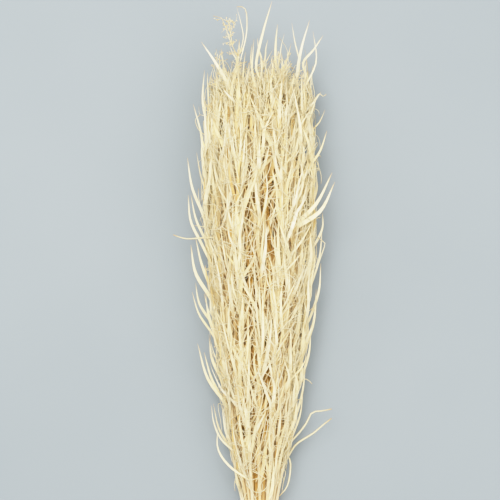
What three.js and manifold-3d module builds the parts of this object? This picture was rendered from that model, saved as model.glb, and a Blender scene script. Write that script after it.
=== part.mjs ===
// A bundle of bleached pampas grass, tied with twine and lying on a flat surface.
// Millimetres. +Y runs along the bundle from the cut ends to the tips, +Z is up, and
// the origin is the middle of the rectangle that the bundle rests on.
import * as THREE from "three";
import { mergeVertices } from "three/addons/utils/BufferGeometryUtils.js";
import Module from "manifold-3d";

const wasm = await Module();
wasm.setup();

// ---- Driving dimensions ----------------------------------------------------

// Stalks in each layer of the bundle, from the layer on the surface upwards. Neighbouring
// layers differ by one, so that each stalk lies in the groove between two below it.
const layers = [4, 5, 6, 5, 4, 3];

// Places along the bundle, measured from the cut ends.
const bundleLength = 985;
const tieAt = 130;
const shoulderAt = 395;
const widestAt = 695;

// Width and height of the bundle at those places, without the blades that stick out.
const cutWidth = 50;
const cutHeight = 40;
const shoulderWidth = 130;
const shoulderHeight = 83;
const widestWidth = 190;
const widestHeight = 115;
const crownWidth = 166;
const crownHeight = 98;

// Stalks.
const stemDiameter = 5.6;
const stemTipDiameter = 4.4;
const stemGap = 0.4;
const cutStagger = 12;
const wanderShare = 0.1;

// Plumes: where the lowest one starts, how far their starts and tips are staggered.
const plumeFrom = 268;
const plumeStagger = 140;
const tipStagger = 170;
const joinGap = 0.3;
const rachisDiameter = 3.4;
const rachisTipDiameter = 1.4;

// Blades of a plume: their shares of the full width and thickness at the root and tip,
// where along them the full width starts and ends, and how soon they leave the rachis.
const bladesPerPlume = 6;
const bladeLength = 125;
const bladeLengthSpread = 40;
const bladeWidth = 4.8;
const bladeThickness = 0.9;
const bladeRootShare = 0.45;
const bladeTipShare = 0.16;
const bladeThinShare = 0.6;
const bladeFullFrom = 0.25;
const bladeFullTo = 0.6;
const bladeLean = 0.8;
const bladeClearance = 0.4;
const firstBladeAfter = 3;
const crownBladeOverlap = 45;
const splayReach = 1.1;

// The twine round the neck of the bundle.
const twineDiameter = 3;
const twineTurns = 5;
const twineGroove = 0.9;
const tieClearance = 0.4;

// Long thin blades that stand clear of the bundle: the side they are on, where they
// leave their stalk and where they end, and how far their tips are from the middle.
const strays = [
  { side: -1, from: 596, to: 648, reach: 127 },
  { side: 1, from: 640, to: 722, reach: 110 },
  { side: 1, from: 340, to: 379, reach: 109 },
];
const strayWidth = 1.8;

// Mesh fineness: sides round each strand, and the longest step along it.
const stemSides = 6;
const rachisSides = 4;
const bladeSides = 4;
const stemStep = 55;
const rachisStep = 72;
const bladeRows = 4;
const ringSteps = 22;

// Where each kind of even spread starts, from 0 to 1.
const spreadStart = { cut: 0.1, plume: 0.37, tip: 0, swing: 0.5, length: 0.6, roll: 0.2 };

// ---- Layout ----------------------------------------------------------------

const goldenRatio = (Math.sqrt(5) - 1) / 2;
const goldenAngle = 2 * Math.PI * goldenRatio;
const rowRise = Math.sqrt(3) / 2; // layers of touching rods are this share of a pitch apart

const columnsAcross = Math.max(...layers);
const lastLayer = layers.length - 1;

// A cell is the room round one stalk: an ellipse that touches its neighbours' ellipses.
const cellWidthShare = 0.5;
const cellHeightShare = 0.5 / rowRise;
const heightInLayers = lastLayer + 2 * cellHeightShare;

// A number between 0 and 1 that is spread evenly over the stalks and blades.
function spread(index, start) {
  return (start + index * goldenRatio) % 1;
}

// A smooth curve through [place, value] stations that never passes beyond their values.
function profile(stations) {
  const rise = (i) => (stations[i + 1][1] - stations[i][1]) / (stations[i + 1][0] - stations[i][0]);
  const slopes = stations.map((_, i) => {
    if (i === 0 || i === stations.length - 1) return 0;
    const before = rise(i - 1);
    const after = rise(i);
    return before * after <= 0 ? 0 : (2 * before * after) / (before + after);
  });
  return (place) => {
    const last = stations.length - 2;
    let i = 0;
    while (i < last && place > stations[i + 1][0]) i += 1;
    const [from, start] = stations[i];
    const [to, end] = stations[i + 1];
    const run = to - from;
    const t = THREE.MathUtils.clamp((place - from) / run, 0, 1);
    const eased = t * t * (3 - 2 * t);
    const leave = slopes[i] * run * t * (1 - t) * (1 - t);
    const arrive = slopes[i + 1] * run * t * t * (1 - t);
    return start + (end - start) * eased + leave - arrive;
  };
}

const neckPitch = stemDiameter + stemGap;

// Distance between stalks side by side, and between layers, at each place.
const pitchAcross = profile([
  [0, cutWidth / columnsAcross],
  [tieAt, neckPitch],
  [shoulderAt, shoulderWidth / columnsAcross],
  [widestAt, widestWidth / columnsAcross],
  [bundleLength, crownWidth / columnsAcross],
]);
const pitchUp = profile([
  [0, cutHeight / heightInLayers],
  [tieAt, neckPitch * rowRise],
  [shoulderAt, shoulderHeight / heightInLayers],
  [widestAt, widestHeight / heightInLayers],
  [bundleLength, crownHeight / heightInLayers],
]);

// Where each stalk sits in the stack: its layer and its column, counted from the middle.
const stalks = layers.flatMap((count, layer) =>
  Array.from({ length: count }, (_, i) => ({ layer, column: i - (count - 1) / 2 })),
);
const middleLayer = stalks.reduce((sum, stalk) => sum + stalk.layer, 0) / stalks.length;

// The tie is a ring round all the stalks at the neck, and it touches the surface.
const tieInside =
  Math.max(
    ...stalks.map(({ layer, column }) =>
      Math.hypot(column * neckPitch, (layer - middleLayer) * neckPitch * rowRise),
    ),
  ) +
  stemDiameter / 2 +
  tieClearance;
const tieHeight = (tieInside + twineDiameter) / Math.cos(Math.PI / ringSteps);

// Height of the lowest layer of stalks above the surface at each place. Above the neck
// it has settled by so much that its lowest blades are pressed flat on the surface.
const settle = bladeWidth / 2 + bladeClearance - (bladeThickness / 2) * bladeThinShare;
const settledHeight = (height) => (cellHeightShare * height) / heightInLayers - settle;
const lowestLayer = profile([
  [0, stemDiameter / 2],
  [tieAt, tieHeight - middleLayer * neckPitch * rowRise],
  [shoulderAt, settledHeight(shoulderHeight)],
  [widestAt, settledHeight(widestHeight)],
  [bundleLength, settledHeight(crownHeight)],
]);

stalks.forEach((stalk, i) => {
  stalk.index = i;
  stalk.number = String(i + 1).padStart(2, "0");
  stalk.cut = cutStagger * spread(i, spreadStart.cut);
  stalk.plumeStart = plumeFrom + plumeStagger * spread(i, spreadStart.plume);
  stalk.tip = bundleLength - tipStagger * spread(i, spreadStart.tip);
  stalk.rachisTip = stalk.tip - (bladeLength - crownBladeOverlap);
});

// The middle of a stalk's cell at a place along the bundle.
function cellCentre(stalk, place) {
  return {
    x: stalk.column * pitchAcross(place),
    z: lowestLayer(place) + stalk.layer * pitchUp(place),
  };
}

// The middle of the stalk itself, which wanders a little inside its cell above the tie.
function stalkCentre(stalk, place) {
  const centre = cellCentre(stalk, place);
  const free = THREE.MathUtils.smoothstep(place, tieAt, shoulderAt) * wanderShare;
  const swing = 2 * Math.PI * (place / shoulderAt + spread(stalk.index, spreadStart.swing));
  centre.x += free * pitchAcross(place) * Math.sin(swing);
  centre.z += free * pitchUp(place) * Math.cos(swing);
  return centre;
}

// ---- Geometry --------------------------------------------------------------

// A strand that runs up +Y, with each of its cross-sections in a plane of constant Y.
// centre, halfWidth and halfThickness give each section from its share of the length,
// and what would sink into the surface is flattened on it.
function strandGeometry({ sides, rows, from, to, centre, halfWidth, halfThickness, roll }) {
  const geometry = new THREE.CylinderGeometry(1, 1, 1, sides, rows);
  const position = geometry.attributes.position;
  for (let i = 0; i < position.count; i += 1) {
    const along = position.getY(i) + 0.5;
    const place = THREE.MathUtils.lerp(from, to, along);
    const middle = centre(place, along);
    const across = position.getX(i) * halfWidth(along);
    const through = position.getZ(i) * halfThickness(along);
    const x = middle.x + across * Math.cos(roll) - through * Math.sin(roll);
    const z = middle.z + across * Math.sin(roll) + through * Math.cos(roll);
    position.setXYZ(i, x, place, Math.max(0, z));
  }
  return geometry;
}

function solidOf(geometry) {
  geometry.deleteAttribute("normal");
  geometry.deleteAttribute("uv");
  const merged = mergeVertices(geometry, 1e-4);
  const vertProperties = merged.attributes.position.array;
  const triVerts = new Uint32Array(merged.index.array);
  return new wasm.Manifold(new wasm.Mesh({ numProp: 3, vertProperties, triVerts }));
}

function geometryOf(solid) {
  const mesh = solid.getMesh();
  const geometry = new THREE.BufferGeometry();
  geometry.setAttribute("position", new THREE.BufferAttribute(mesh.vertProperties, 3));
  geometry.setIndex(new THREE.BufferAttribute(mesh.triVerts, 1));
  geometry.computeVertexNormals();
  return geometry;
}

// The share of its full width that a blade has at each share of its length.
const bladeShape = profile([
  [0, bladeRootShare],
  [bladeFullFrom, 1],
  [bladeFullTo, 1],
  [1, bladeTipShare],
]);

// One blade, from the middle of its stalk to a point in the room that the stalk has:
// offset gives that point across and up, in shares of the pitch, from the cell's middle.
function bladeGeometry(stalk, { number, from, to, offset, width }) {
  const margin = width / 2 + bladeClearance;
  return strandGeometry({
    sides: bladeSides,
    rows: bladeRows,
    from,
    to,
    centre: (place, along) => {
      const start = stalkCentre(stalk, place);
      const end = cellCentre(stalk, place);
      const inside = Math.hypot(offset.across, offset.up);
      const roomAcross = Math.max(0, inside * pitchAcross(place) - margin) / inside;
      const roomUp = Math.max(0, (inside * pitchUp(place)) / rowRise - margin) / inside;
      end.x += offset.across * roomAcross;
      end.z += offset.up * roomUp;
      const away = Math.pow(along, bladeLean);
      return {
        x: THREE.MathUtils.lerp(start.x, end.x, away),
        z: THREE.MathUtils.lerp(start.z, end.z, away),
      };
    },
    halfWidth: (along) => (width / 2) * bladeShape(along),
    halfThickness: (along) => (bladeThickness / 2) * Math.max(bladeThinShare, bladeShape(along)),
    roll: Math.PI * spread(stalk.index * bladesPerPlume + number, spreadStart.roll),
  });
}

// The way out of the bundle from a stalk on its outside, or null for one inside it.
function wayOut(stalk) {
  const edge = Math.abs(stalk.column) > (layers[stalk.layer] - 1) / 2 - 0.5;
  const top = stalk.layer === lastLayer;
  if (!edge && !top) return null;
  const across = stalk.column;
  const up = Math.max(0, (stalk.layer - middleLayer) * rowRise);
  const length = Math.hypot(across, up);
  return { across: across / length, up: up / length };
}

// ---- Pieces ----------------------------------------------------------------

const straw = new THREE.MeshStandardMaterial({ color: 0xe3cd95, roughness: 0.7, metalness: 0 });
const bleached = new THREE.MeshStandardMaterial({ color: 0xf0e6c4, roughness: 0.8, metalness: 0 });
const jute = new THREE.MeshStandardMaterial({ color: 0xb08a55, roughness: 0.95, metalness: 0 });

// The bare stem, from its cut end to the start of its plume.
function stemMesh(stalk) {
  const taper = (along) => THREE.MathUtils.lerp(stemDiameter, stemTipDiameter, along) / 2;
  const geometry = strandGeometry({
    sides: stemSides,
    rows: Math.ceil((stalk.plumeStart - stalk.cut) / stemStep),
    from: stalk.cut,
    to: stalk.plumeStart,
    centre: (place) => stalkCentre(stalk, place),
    halfWidth: taper,
    halfThickness: taper,
    roll: 0,
  });
  const mesh = new THREE.Mesh(geometry, straw.clone());
  mesh.name = "stem_" + stalk.number;
  return mesh;
}

// The blades of one plume: where each leaves the rachis, where it ends and which way.
function bladesOf(stalk) {
  const out = wayOut(stalk);
  const first = stalk.plumeStart + joinGap + firstBladeAfter;
  const last = stalk.rachisTip - crownBladeOverlap;
  const blades = [];
  for (let i = 0; i < bladesPerPlume; i += 1) {
    const from = THREE.MathUtils.lerp(first, last, i / (bladesPerPlume - 1));
    const longer = spread(stalk.index * bladesPerPlume + i, spreadStart.length) - 0.5;
    const length = bladeLength + bladeLengthSpread * longer;
    const resting = stalk.layer === 0 && i % 2 === 0;
    const turn = resting ? -Math.PI / 2 : goldenAngle * (i + stalk.index);
    const splayed = out !== null && i % 2 === 1;
    const offset = splayed
      ? { across: out.across * splayReach, up: out.up * splayReach }
      : { across: cellWidthShare * Math.cos(turn), up: cellWidthShare * Math.sin(turn) };
    const to = i === bladesPerPlume - 1 ? stalk.tip : Math.min(stalk.tip, from + length);
    blades.push({ number: i, from, to, offset, width: bladeWidth });
  }
  return blades;
}

// The stray blades that this stalk carries: the outermost stalk on each side has them.
function straysOf(stalk) {
  const outermost = (columnsAcross - 1) / 2;
  return strays
    .filter((stray) => stalk.column === stray.side * outermost)
    .map((stray) => {
      const margin = strayWidth / 2 + bladeClearance;
      const beyond = stray.reach - outermost * pitchAcross(stray.to) + margin;
      const across = (stray.side * beyond) / pitchAcross(stray.to);
      const offset = { across, up: 0 };
      return { number: 0, from: stray.from, to: stray.to, offset, width: strayWidth };
    });
}

// A plume: its rachis, which carries on from the stem, with its blades grown onto it.
function plumeMesh(stalk) {
  const taper = (along) => THREE.MathUtils.lerp(rachisDiameter, rachisTipDiameter, along) / 2;
  const rachis = strandGeometry({
    sides: rachisSides,
    rows: Math.ceil((stalk.rachisTip - stalk.plumeStart) / rachisStep),
    from: stalk.plumeStart + joinGap,
    to: stalk.rachisTip,
    centre: (place) => stalkCentre(stalk, place),
    halfWidth: taper,
    halfThickness: taper,
    roll: 0,
  });
  const blades = [...bladesOf(stalk), ...straysOf(stalk)];
  const plume = blades.reduce(
    (joined, blade) => joined.add(solidOf(bladeGeometry(stalk, blade))),
    solidOf(rachis),
  );
  const mesh = new THREE.Mesh(geometryOf(plume), bleached.clone());
  mesh.name = "plume_" + stalk.number;
  return mesh;
}

// The twine: side-by-side turns pulled tight round the neck, as one ribbed ring. It has
// flat sides, so its corners stand out far enough for the flats to clear the stems.
function tieMesh() {
  const width = twineTurns * twineDiameter;
  const corner = (radius) => radius / Math.cos(Math.PI / ringSteps);
  const outline = [new THREE.Vector2(corner(tieInside), -width / 2)];
  for (let turn = 0; turn < twineTurns; turn += 1) {
    const start = -width / 2 + turn * twineDiameter;
    const crest = corner(tieInside + twineDiameter);
    outline.push(new THREE.Vector2(crest - twineGroove, start));
    outline.push(new THREE.Vector2(crest, start + twineDiameter / 2));
  }
  outline.push(new THREE.Vector2(corner(tieInside + twineDiameter) - twineGroove, width / 2));
  outline.push(new THREE.Vector2(corner(tieInside), width / 2));
  outline.push(outline[0].clone());
  const mesh = new THREE.Mesh(new THREE.LatheGeometry(outline, ringSteps), jute.clone());
  mesh.name = "tie";
  mesh.position.set(0, tieAt, tieHeight);
  return mesh;
}

// ---- Assembly --------------------------------------------------------------

// Each stalk is a group that is placed where the stalk passes through the tie.
const bundle = new THREE.Group();
for (const stalk of stalks) {
  const neck = stalkCentre(stalk, tieAt);
  const whole = new THREE.Group();
  whole.position.set(neck.x, tieAt, neck.z);
  for (const mesh of [stemMesh(stalk), plumeMesh(stalk)]) {
    mesh.geometry.translate(-neck.x, -tieAt, -neck.z);
    whole.add(mesh);
  }
  bundle.add(whole);
}
bundle.add(tieMesh());

// The bundle is moved so that the origin is the middle of what it rests on.
bundle.updateMatrixWorld(true);
const box = new THREE.Box3().setFromObject(bundle, true);
const middle = box.getCenter(new THREE.Vector3());
bundle.position.set(-middle.x, -middle.y, -box.min.z);

const part = new THREE.Group();
part.add(bundle);

export default part;
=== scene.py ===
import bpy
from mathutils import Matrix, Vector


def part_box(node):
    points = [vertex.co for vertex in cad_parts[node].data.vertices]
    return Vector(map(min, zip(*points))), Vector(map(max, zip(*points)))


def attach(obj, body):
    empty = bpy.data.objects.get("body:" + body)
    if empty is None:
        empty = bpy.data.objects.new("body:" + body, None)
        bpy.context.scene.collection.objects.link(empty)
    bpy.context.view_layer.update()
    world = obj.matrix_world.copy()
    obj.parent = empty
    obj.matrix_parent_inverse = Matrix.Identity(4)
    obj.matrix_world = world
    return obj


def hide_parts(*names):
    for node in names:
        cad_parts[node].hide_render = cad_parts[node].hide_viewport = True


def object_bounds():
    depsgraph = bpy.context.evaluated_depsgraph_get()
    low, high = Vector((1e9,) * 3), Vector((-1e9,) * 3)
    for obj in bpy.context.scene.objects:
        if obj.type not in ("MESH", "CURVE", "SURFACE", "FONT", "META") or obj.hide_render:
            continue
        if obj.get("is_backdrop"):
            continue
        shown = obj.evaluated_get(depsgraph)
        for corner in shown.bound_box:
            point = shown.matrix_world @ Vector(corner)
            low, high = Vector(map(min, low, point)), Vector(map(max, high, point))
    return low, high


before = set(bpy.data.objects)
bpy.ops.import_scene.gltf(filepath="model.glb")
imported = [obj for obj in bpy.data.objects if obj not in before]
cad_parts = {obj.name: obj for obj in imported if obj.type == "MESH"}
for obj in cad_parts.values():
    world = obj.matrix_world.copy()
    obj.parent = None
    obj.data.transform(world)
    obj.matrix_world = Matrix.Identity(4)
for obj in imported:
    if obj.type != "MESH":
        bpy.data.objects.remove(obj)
cad_box = [list(corner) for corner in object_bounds()]

# %% [markdown]
# # A tied bunch of bleached pampas grass
#
# The real object is a bunch of cut stalks that lies on a table. Each stalk is a straw
# culm with old leaf sheaths round it, and its upper part carries narrow pointed blades,
# wiry threads and a small branching panicle. Twine holds the stalks at the neck.
#
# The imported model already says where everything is: stem_01 to stem_27, plume_01 to
# plume_27 and the tie. Each of those plain solids is replaced here by a detailed piece
# that fills the same space. The grass is grown stalk by stalk, as a plant does it, by
# bending copies of a few small template shapes along routes.

# %% Tools and units
import math
import random

import bmesh
import bpy
from mathutils import Quaternion, Vector

MM = 0.001
GOLDEN_SHARE = (math.sqrt(5) - 1) / 2
GOLDEN_ANGLE = math.tau * GOLDEN_SHARE
LOWEST = 0.05
FACE_UP = Vector((0, 0, 1))
ALONG = Vector((0, 1, 0))


def mix(start, end, share):
    """The value, number or vector, that lies that share of the way from start to end."""
    return start + (end - start) * share


def clamp(value, low=0.0, high=1.0):
    return max(low, min(high, value))


print("the packed model's box in mm:", [[round(v / MM, 1) for v in corner] for corner in cad_box])

# %% [markdown]
# ## Where each stalk runs
#
# The stalks are stacked in layers, like pencils in a box: each lies in the groove
# between two below it. The twine squeezes the stack at the neck, and above it the stack
# spreads out. So two spacings, across and up, which change along the bunch, give every
# stalk's middle line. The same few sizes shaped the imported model, and a check against
# its stems shows that the two agree.
#
# Places along the bunch are in millimetres from the cut ends, places across it are from
# its middle line, and heights are from the table. The tie's box fixes all three.

# %% The stack of stalks
LAYERS = [4, 5, 6, 5, 4, 3]
ROW_RISE = math.sqrt(3) / 2
HEIGHT_IN_LAYERS = len(LAYERS) - 1 + 1 / ROW_RISE
NECK_AT, SHOULDER_AT, WIDEST_AT, TOP_AT = 130, 395, 695, 985
WIDTHS = {0: 50, SHOULDER_AT: 130, WIDEST_AT: 190, TOP_AT: 166}
HEIGHTS = {0: 40, SHOULDER_AT: 83, WIDEST_AT: 115, TOP_AT: 98}
CULM_DIAMETER, CULM_TIP_DIAMETER = 5.6, 4.4
NECK_PITCH = 6.0
SETTLE = 2.53
WANDER = 0.1

tie_low, tie_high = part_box("tie")
TIE_OUTER_RADIUS = (tie_high[2] - tie_low[2]) / 2 / MM
middle_x = (tie_low[0] + tie_high[0]) / 2
cut_y = (tie_low[1] + tie_high[1]) / 2 - NECK_AT * MM


def spot(x, y, z):
    """A point in the frame, in metres, from millimetres across, along and up the bunch."""
    return Vector((middle_x + x * MM, cut_y + y * MM, z * MM))


def profile(stations):
    """A smooth curve through (place, value) stations that never passes their values."""
    rises = [(b[1] - a[1]) / (b[0] - a[0]) for a, b in zip(stations, stations[1:])]
    slopes = [0.0]
    for before, after in zip(rises, rises[1:]):
        slopes.append(0.0 if before * after <= 0 else 2 * before * after / (before + after))
    slopes.append(0.0)

    def value(place):
        i = 0
        while i < len(rises) - 1 and place > stations[i + 1][0]:
            i += 1
        (start, low), (end, high) = stations[i], stations[i + 1]
        t = clamp((place - start) / (end - start))
        bend = t * (1 - t) * (end - start)
        return mix(low, high, t * t * (3 - 2 * t)) + bend * (slopes[i] * (1 - t) - slopes[i + 1] * t)

    return value


def with_neck(sizes, neck, share=1.0):
    """Stations from sizes at the cut ends, shoulder, widest place and top, and the neck."""
    places = {place: size * share for place, size in sizes.items()}
    places[NECK_AT] = neck
    return sorted(places.items())


middle_layer = sum(layer * count for layer, count in enumerate(LAYERS)) / sum(LAYERS)
low_heights = {place: size / HEIGHT_IN_LAYERS / 2 / ROW_RISE - SETTLE for place, size in HEIGHTS.items()}
low_heights[0] = CULM_DIAMETER / 2
pitch_across = profile(with_neck(WIDTHS, NECK_PITCH, 1 / max(LAYERS)))
pitch_up = profile(with_neck(HEIGHTS, NECK_PITCH * ROW_RISE, 1 / HEIGHT_IN_LAYERS))
lowest_layer = profile(with_neck(low_heights, TIE_OUTER_RADIUS - middle_layer * NECK_PITCH * ROW_RISE))


class Stalk:
    """One stalk: its place in the stack, and where its culm and plume start and end."""

    def __init__(self, index, layer, column):
        self.index, self.layer, self.column = index, layer, column
        self.number = f"{index + 1:02d}"
        self.cut = (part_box(f"stem_{self.number}")[0][1] - cut_y) / MM
        self.plume_start = (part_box(f"plume_{self.number}")[0][1] - cut_y) / MM
        self.tip = (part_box(f"plume_{self.number}")[1][1] - cut_y) / MM

    def at(self, place):
        """The middle of the stalk at a place: millimetres across, along and up."""
        free = clamp((place - NECK_AT) / (SHOULDER_AT - NECK_AT))
        free = WANDER * free * free * (3 - 2 * free)
        start = (0.5 + self.index * GOLDEN_SHARE) % 1
        swing = math.tau * (place / SHOULDER_AT + start)
        across = pitch_across(place) * (self.column + free * math.sin(swing))
        up = lowest_layer(place) + pitch_up(place) * (self.layer + free * math.cos(swing))
        return Vector((across, place, up))


stack = [(layer, i - (count - 1) / 2) for layer, count in enumerate(LAYERS) for i in range(count)]
stalks = [Stalk(index, layer, column) for index, (layer, column) in enumerate(stack)]

apart = 0.0
for stalk in stalks:
    ends = {}
    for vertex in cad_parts[f"stem_{stalk.number}"].data.vertices:
        ends.setdefault(round(vertex.co.y, 5), set()).add(tuple(round(c, 6) for c in vertex.co))
    for place, ring in ends.items():
        centre = sum((Vector(co) for co in ring), Vector()) / len(ring)
        apart = max(apart, (centre - spot(*stalk.at((place - cut_y) / MM))).length / MM)
print(len(stalks), "stalks, at most", round(apart, 2), "mm from the packed stems' middle lines")

# %% [markdown]
# ## Colours and the one node helper
#
# Colours are written as sRGB hex values, the way a paint chart gives them, and one
# function turns them into the linear values that shaders work in. Every node of every
# material is added by one helper, which sets its options, fills or links its inputs, and
# gives a colour ramp its stops.

# %% Colours and nodes
def linear(hex_colour):
    """A linear RGBA colour from an sRGB hex value."""
    channels = [int(hex_colour[i : i + 2], 16) / 255 for i in (1, 3, 5)]
    return [c / 12.92 if c <= 0.04045 else ((c + 0.055) / 1.055) ** 2.4 for c in channels] + [1.0]


def add(tree, kind, inputs, stops=(), **options):
    """Adds a node. Inputs are values or the sockets to link, stops are the (position, sRGB
    hex) colours of a ramp, and options are the node's other settings."""
    node = tree.nodes.new(kind)
    for name, value in options.items():
        setattr(node, name, value)
    for name, value in inputs.items():
        if isinstance(value, bpy.types.NodeSocket):
            tree.links.new(value, node.inputs[name])
        else:
            node.inputs[name].default_value = value
    for i, (position, colour) in enumerate(stops):
        elements = node.color_ramp.elements
        element = elements[i] if i < len(elements) else elements.new(position)
        element.position = position
        element.color = linear(colour)
    return node


def new_material(name):
    """An empty material and its node tree."""
    material = bpy.data.materials.new(name)
    material.use_nodes = True
    material.node_tree.nodes.clear()
    return material, material.node_tree


def pattern_scale(size):
    """The scale of a pattern whose features are that many millimetres across."""
    return 1 / (size * MM)


print("ivory as linear values:", [round(channel, 3) for channel in linear("#F8EAC0")[:3]])

# %% [markdown]
# ## Bleached leaf
#
# The blades are dry grass leaves that were bleached in a bath. That takes the green and
# most of the brown out: the surface is matt, ivory to straw, and no two blades have the
# same colour. Fine veins and long fibre streaks run along each blade. The tips keep a
# little more gold. Blades deep inside the bunch are painted a deeper gold: partly because
# the bath reached them less, and partly as painted shade in the gaps between the blades.
#
# Each strand carries four numbers of its own in its mesh: along and across say where a
# point is on it, tint is its own colour, and depth is how far inside the bunch it is. One
# material can so colour thousands of strands, and each of them differently.
# The real veins are finer than can show, so each blade has seven coarse ones across it,
# 0.4 to 0.9 mm apart.

# %% Bleached leaf material
STREAK_WIDTH, STREAK_LENGTH, BLOTCH_SIZE = 2.0, 22.0, 16.0
STREAK_STRENGTH = 0.34
VEINS_PER_HALF_BLADE = 3.5
VEIN_DEPTH = 0.2
TIP_FROM = 0.86
BLOTCH_FROM, BLOTCH_FULL, BLOTCH_MOST = 0.58, 0.74, 0.35
GOLD_AND_SHADE_FROM, GOLD_AND_SHADE_FULL = 0.12, 0.46


def dry_plant_material(name, stops, deep_gold_and_shade, roughness):
    """A dry plant skin whose colour follows each strand's own numbers."""
    material, tree = new_material(name)
    along, across, tint, depth = (
        add(tree, "ShaderNodeAttribute", {}, attribute_name=number).outputs["Fac"]
        for number in ("along", "across", "tint", "depth")
    )
    place = add(tree, "ShaderNodeTexCoord", {}).outputs["Object"]
    fine, long = pattern_scale(STREAK_WIDTH), pattern_scale(STREAK_LENGTH)
    stretched = add(tree, "ShaderNodeMapping", {"Vector": place, "Scale": (fine, long, fine)})
    streaks = add(
        tree, "ShaderNodeTexNoise",
        {"Vector": stretched.outputs["Vector"], "Scale": 1.0, "Detail": 3.0, "Roughness": 0.6},
    )
    streak_shade = add(
        tree, "ShaderNodeMath",
        {0: streaks.outputs["Fac"], 1: STREAK_STRENGTH, 2: -STREAK_STRENGTH / 2},
        operation="MULTIPLY_ADD",
    )
    shade = add(
        tree, "ShaderNodeMath", {0: streak_shade.outputs[0], 1: tint}, operation="ADD", use_clamp=True
    )
    skin = add(tree, "ShaderNodeValToRGB", {"Fac": shade.outputs[0]}, stops=stops)
    # The last seventh of a strand fades to the gold of its dry tip.
    near_tip = add(tree, "ShaderNodeMapRange", {"Value": along, "From Min": TIP_FROM})
    # Faint blotches, where the bath dried unevenly.
    blotches = add(
        tree, "ShaderNodeTexNoise",
        {"Vector": place, "Scale": pattern_scale(BLOTCH_SIZE), "Detail": 2.0},
    )
    blotched = add(
        tree, "ShaderNodeMapRange",
        {
            "Value": blotches.outputs["Fac"],
            "From Min": BLOTCH_FROM, "From Max": BLOTCH_FULL, "To Max": BLOTCH_MOST,
        },
    )
    # A deeper gold comes in from an eighth of the way into the bunch: partly less bleached
    # leaf, partly painted shade between the blades.
    inside = add(
        tree, "ShaderNodeMapRange", {"Value": depth, "From Min": GOLD_AND_SHADE_FROM, "From Max": GOLD_AND_SHADE_FULL}
    )
    colour = skin.outputs["Color"]
    for amount, over in ((near_tip, "#DDBC81"), (blotched, "#E0C38C"), (inside, deep_gold_and_shade)):
        colour = add(
            tree, "ShaderNodeMix",
            {"Factor": amount.outputs["Result"], "A": colour, "B": linear(over)},
            data_type="RGBA",
        ).outputs["Result"]
    vein_wave = add(
        tree, "ShaderNodeMath", {0: across, 1: VEINS_PER_HALF_BLADE * math.tau}, operation="MULTIPLY"
    )
    veins = add(tree, "ShaderNodeMath", {0: vein_wave.outputs[0]}, operation="SINE")
    relief = add(
        tree, "ShaderNodeMath", {0: veins.outputs[0], 1: 0.4, 2: streaks.outputs["Fac"]},
        operation="MULTIPLY_ADD",
    )
    bump = add(
        tree, "ShaderNodeBump",
        {"Height": relief.outputs[0], "Strength": 0.35, "Distance": VEIN_DEPTH * MM},
    )
    shader = add(
        tree, "ShaderNodeBsdfPrincipled",
        {
            "Base Color": colour,
            "Roughness": roughness,
            "IOR": 1.45,
            "Specular IOR Level": 0.2,
            "Normal": bump.outputs["Normal"],
        },
    )
    add(tree, "ShaderNodeOutputMaterial", {"Surface": shader.outputs["BSDF"]})
    return material


bleached_leaf = dry_plant_material(
    "bleached_dry_leaf",
    [(0.0, "#D0A868"), (0.2, "#E6C98C"), (0.42, "#F2DEA8"), (0.7, "#F8EAC0"), (1.0, "#FAF2D4")],
    # Deep in the bunch the blades turn this gold: partly less bleached, partly painted shade.
    deep_gold_and_shade="#DAA848",
    roughness=0.65,
)
print("made", bleached_leaf.name)

# %% [markdown]
# ## Straw and pith
#
# A culm is a smooth straw tube. Its skin is rich in silica, so it is a little shinier
# than the leaves, and it is a deeper gold. Long fibres streak it lengthwise, as they do
# the leaves, so it takes the same nodes with its own colours. Where it was cut, the soft
# pale pith inside shows its spongy cells, 0.5 mm across.

# %% Straw and pith materials
PITH_CELL, PITH_CELL_DEPTH = 0.5, 0.3

straw_culm = dry_plant_material(
    "dry_straw_culm",
    [(0.0, "#C79858"), (0.3, "#DEBC82"), (0.6, "#EBD3A4"), (0.85, "#F2E1BA"), (1.0, "#F6EACA")],
    # Deep in the bunch the straw turns this gold: partly less bleached, partly painted shade.
    deep_gold_and_shade="#CC9C3A",
    roughness=0.5,
)


def pith_material():
    """Spongy pith: each cell is a pale wall round a hollow, whose dark colour is painted shade."""
    material, tree = new_material("cut_spongy_pith")
    place = add(tree, "ShaderNodeTexCoord", {}).outputs["Object"]
    cells = add(tree, "ShaderNodeTexVoronoi", {"Vector": place, "Scale": pattern_scale(PITH_CELL)})
    colour = add(
        tree, "ShaderNodeValToRGB", {"Fac": cells.outputs["Distance"]},
        # The dark brown at each cell's middle is painted shade in its hollow.
        stops=[(0.0, "#8F6E3C"), (0.45, "#D8BF8C"), (1.0, "#EADBB4")],
    )
    bump = add(
        tree, "ShaderNodeBump",
        {"Height": cells.outputs["Distance"], "Strength": 0.6, "Distance": PITH_CELL_DEPTH * MM},
    )
    shader = add(
        tree, "ShaderNodeBsdfPrincipled",
        {"Base Color": colour.outputs["Color"], "Roughness": 0.9, "Normal": bump.outputs["Normal"]},
    )
    add(tree, "ShaderNodeOutputMaterial", {"Surface": shader.outputs["BSDF"]})
    return material


cut_pith = pith_material()
print("made", straw_culm.name, "and", cut_pith.name)

# %% [markdown]
# ## Twine
#
# The tie is three-ply jute twine. Jute is a brown bast fibre: each ply is a bundle of
# fibres twisted one way, and the plies are twisted together the other way, which keeps
# both from unwinding. The plies are real geometry below, so the material only adds the
# fibres, which wind round each ply. Real ones are 0.05 mm thick, too fine to show, so
# they are drawn 0.3 mm apart.

# %% Twine material
FIBRES_ACROSS_PLY, FIBRE_WINDINGS = 5.7, 350
FUZZ_SIZE, FIBRE_DEPTH = 0.67, 0.3


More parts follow.
